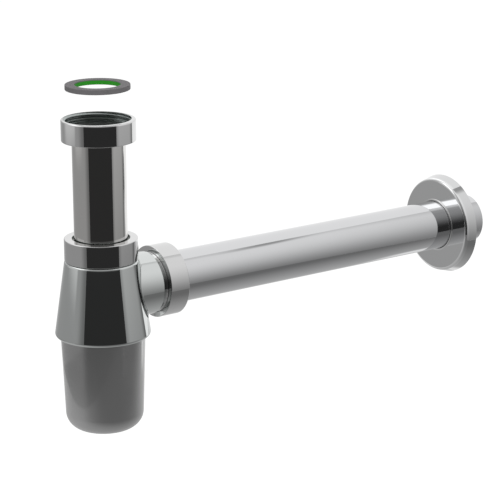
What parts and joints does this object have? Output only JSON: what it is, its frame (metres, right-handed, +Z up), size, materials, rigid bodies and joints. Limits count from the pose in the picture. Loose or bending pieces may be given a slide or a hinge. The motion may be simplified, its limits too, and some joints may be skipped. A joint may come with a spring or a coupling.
{
  "type": "bottle trap",
  "caption": "Bottle trap with a height-adjustable inlet tube, a screwed cup, a threaded neck joint and a straight wall pipe with a round rosette.",
  "frame": {"origin": "on the trap's axis, at the top of the inlet washer once it is seated, where the waste's tail comes to rest in the union nut", "axes": "+Z is up, out of the inlet; +X runs along the outlet pipe to the wall"},
  "size_m": [0.3203, 0.0658, 0.2113],
  "materials": {
    "bright_chrome": "polished chrome plate",
    "satin_chrome": "satin chrome plate",
    "washer_rubber": "moulded, matt, with a green inner wall",
    "black_rubber": "moulded, matt",
    "slip_plastic": "moulded, natural white",
    "tube_plastic": "moulded, pale grey"
  },
  "bodies": {
    "trap": {"trap_body": "bright_chrome", "dip_tube": "tube_plastic", "gland_seal": "black_rubber", "outlet_seal": "black_rubber"},
    "inlet_pipe": {"inlet_tube": "bright_chrome"},
    "union": {"union_nut": "bright_chrome"},
    "washer": {"inlet_washer": "washer_rubber"},
    "top_ring": {"gland_slip_ring": "slip_plastic"},
    "top_nut": {"gland_nut": "bright_chrome"},
    "neck_ring": {"outlet_slip_ring": "slip_plastic"},
    "neck_nut": {"outlet_nut": "bright_chrome"},
    "cup_ring": {"cup_seal": "black_rubber"},
    "cup": {"cup": "satin_chrome"},
    "wall_pipe": {"outlet_pipe": "bright_chrome"},
    "rosette": {"wall_rosette": "bright_chrome", "rosette_ring": "black_rubber"}
  },
  "joints": [
    {"name": "inlet_height", "type": "slide", "parent": "trap", "child": "inlet_pipe", "axis": [0, 0, 1], "range_m": [-0.05, 0.02]},
    {"name": "union_turn", "type": "hinge", "parent": "inlet_pipe", "child": "union", "pos_m": [0, 0, 0], "axis": [0, 0, 1], "continuous": true},
    {"name": "washer_drop", "type": "slide", "parent": "inlet_pipe", "child": "washer", "axis": [0, 0, 1], "range_m": [-0.0259, 0]},
    {"name": "top_nut_lift", "type": "slide", "parent": "trap", "child": "top_ring", "axis": [0, 0, 1], "range_m": [0, 0.006]},
    {"name": "top_nut_turn", "type": "hinge", "parent": "top_ring", "child": "top_nut", "pos_m": [0, 0, -0.08], "axis": [0, 0, 1], "range_deg": [0, 1441]},
    {"name": "neck_nut_back_off", "type": "slide", "parent": "trap", "child": "neck_ring", "axis": [1, 0, 0], "range_m": [0, 0.006]},
    {"name": "neck_nut_turn", "type": "hinge", "parent": "neck_ring", "child": "neck_nut", "pos_m": [0.0352, 0, -0.1], "axis": [1, 0, 0], "range_deg": [0, 1441]},
    {"name": "cup_drop", "type": "slide", "parent": "trap", "child": "cup_ring", "axis": [0, 0, -1], "range_m": [0, 0.007]},
    {"name": "cup_turn", "type": "hinge", "parent": "cup_ring", "child": "cup", "pos_m": [0, 0, -0.127], "axis": [0, 0, -1], "range_deg": [0, 1261]},
    {"name": "pipe_slide", "type": "slide", "parent": "trap", "child": "wall_pipe", "axis": [1, 0, 0], "range_m": [-0.007, 0.01]},
    {"name": "rosette_slide", "type": "slide", "parent": "wall_pipe", "child": "rosette", "axis": [1, 0, 0], "range_m": [-0.18, 0.02]}
  ],
  "couplings": [
    {"joint": "top_nut_turn", "follows": "top_nut_lift", "rad_per_m": 4188.8},
    {"joint": "neck_nut_turn", "follows": "neck_nut_back_off", "rad_per_m": 4188.8},
    {"joint": "cup_turn", "follows": "cup_drop", "rad_per_m": 3141.6}
  ]
}
